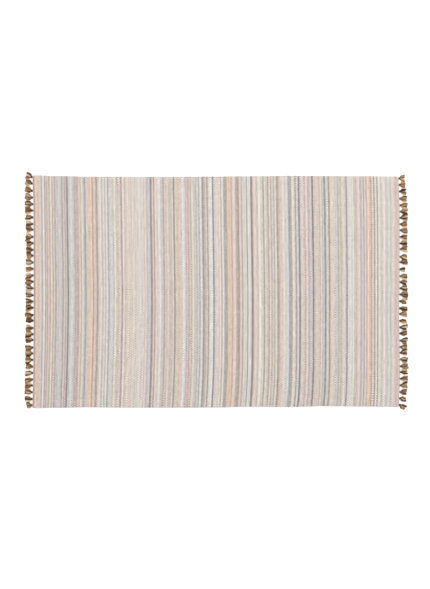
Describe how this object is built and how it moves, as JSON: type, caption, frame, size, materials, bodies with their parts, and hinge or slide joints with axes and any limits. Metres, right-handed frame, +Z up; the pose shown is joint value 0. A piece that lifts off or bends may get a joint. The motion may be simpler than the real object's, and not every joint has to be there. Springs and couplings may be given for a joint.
{
  "type": "flat-woven tasselled rug",
  "caption": "Flat-woven rug with fine pastel cross stripes and a row of brown yarn tassels along both short ends, lying flat on the floor.",
  "frame": {"origin": "on the floor under the middle of the whole rug, tassels included", "axes": "+X along the length towards the right end, +Y across the width towards the far long side, +Z up from the floor"},
  "size_m": [1.496, 0.9344, 0.0076],
  "materials": {
    "woven_stripes": "matte cotton weave in fine pastel stripes",
    "tassel_yarn": "matte twisted yarn in mixed browns, tan, olive and rust"
  },
  "bodies": {
    "root": {"woven_cloth": "woven_stripes", "fringe_left": "tassel_yarn", "fringe_right": "tassel_yarn"}
  },
  "joints": []
}
